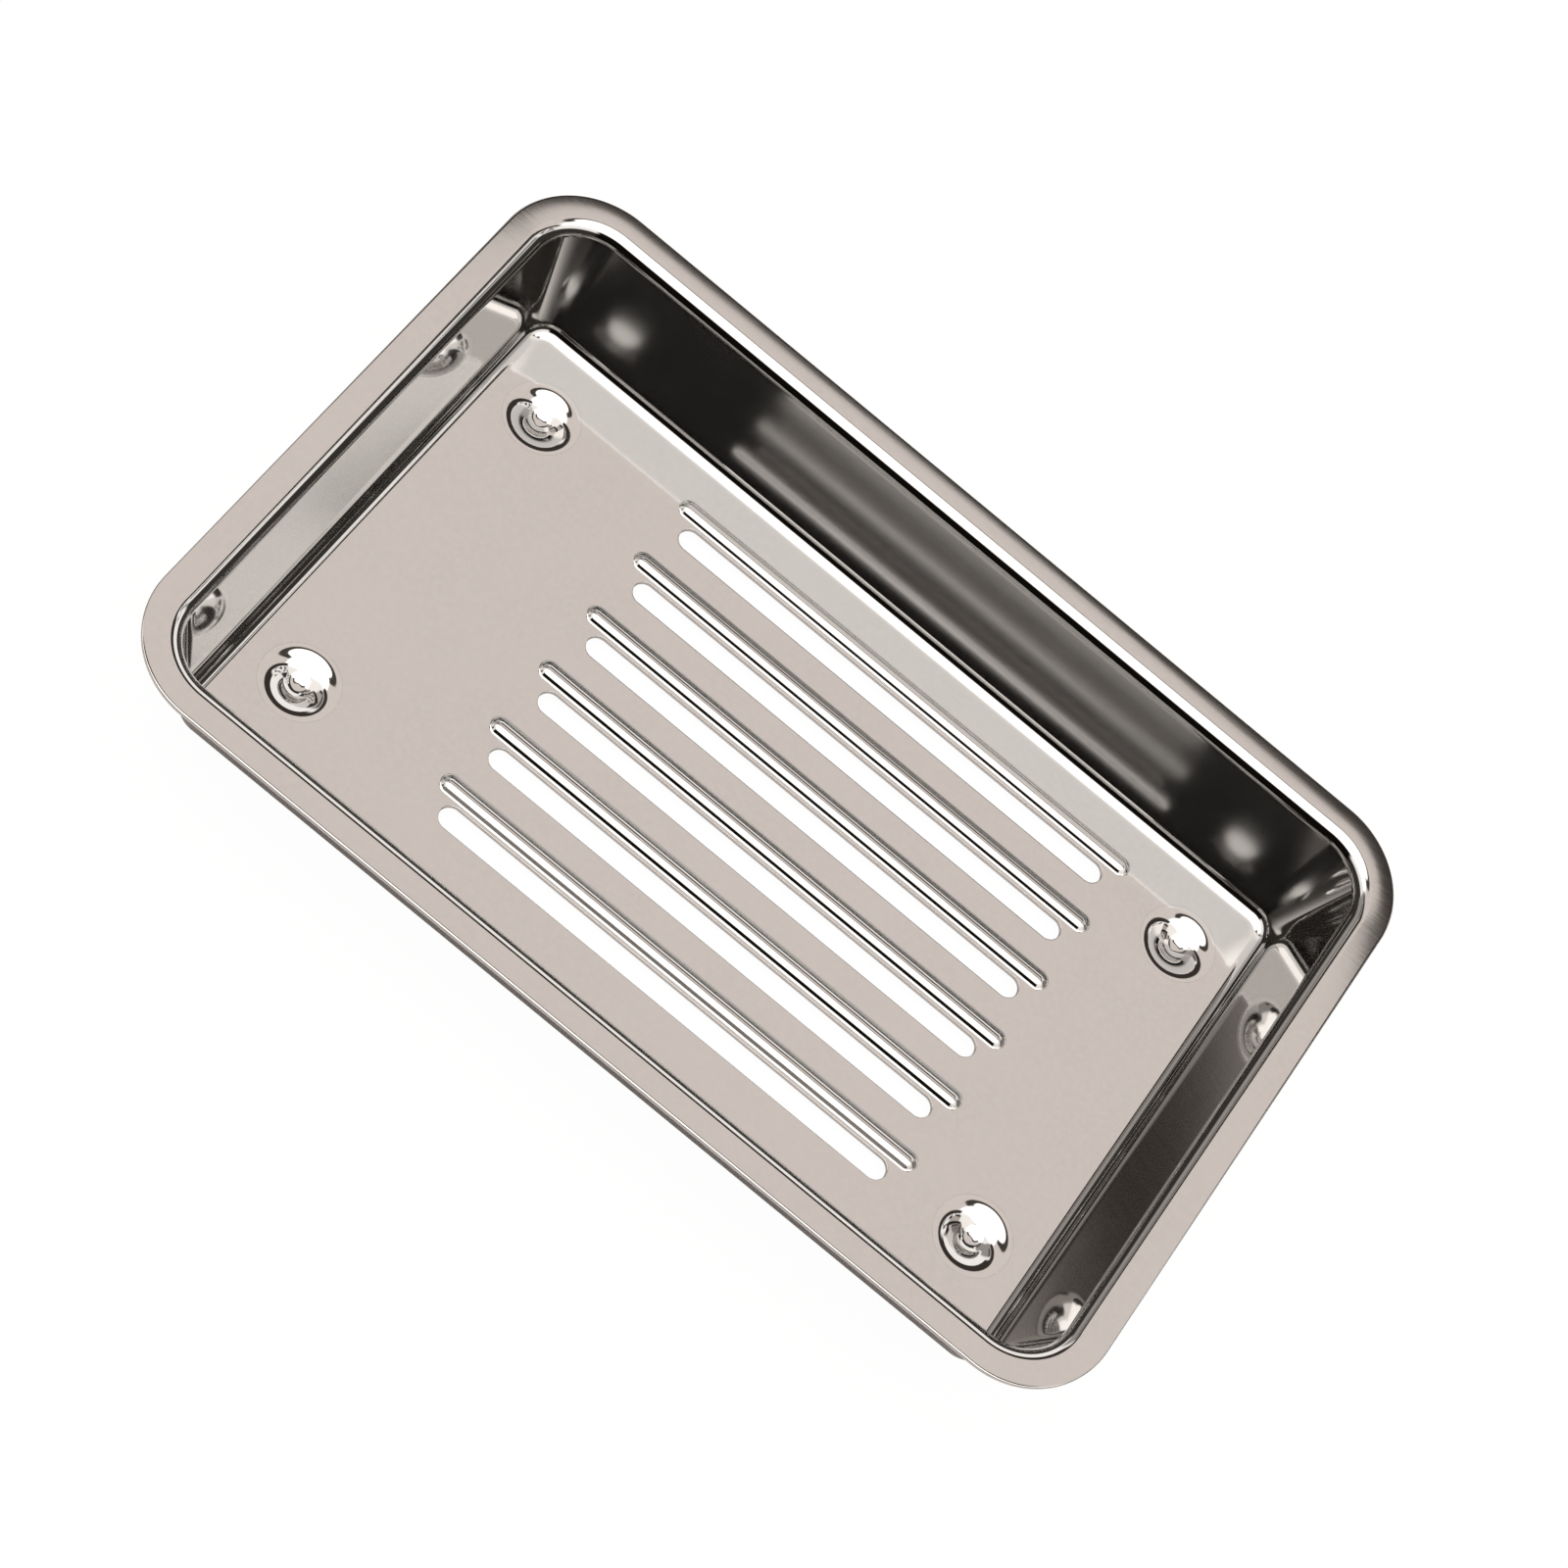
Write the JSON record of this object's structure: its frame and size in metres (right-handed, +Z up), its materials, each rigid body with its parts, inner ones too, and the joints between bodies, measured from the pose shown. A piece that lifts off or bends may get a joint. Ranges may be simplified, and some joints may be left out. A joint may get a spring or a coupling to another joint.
{
  "type": "instrument tray",
  "caption": "Shallow pressed steel instrument tray with a flat rim, sloping walls, rows of drain slots with raised ribs, and a dished foot near each corner.",
  "frame": {"origin": "under the middle of the tray, on the surface that its four feet stand on", "axes": "+X along the tray towards the end with the shorter plain floor, +Y across it from each slot towards its rib, +Z up"},
  "size_m": [0.2, 0.134, 0.0294],
  "materials": {
    "pan_steel": "satin polished stainless sheet",
    "foot_steel": "mirror polished"
  },
  "bodies": {
    "root": {"tray_pan": "pan_steel", "foot_cup_left_front": "foot_steel", "foot_cup_left_rear": "foot_steel", "foot_cup_right_front": "foot_steel", "foot_cup_right_rear": "foot_steel"}
  },
  "joints": []
}
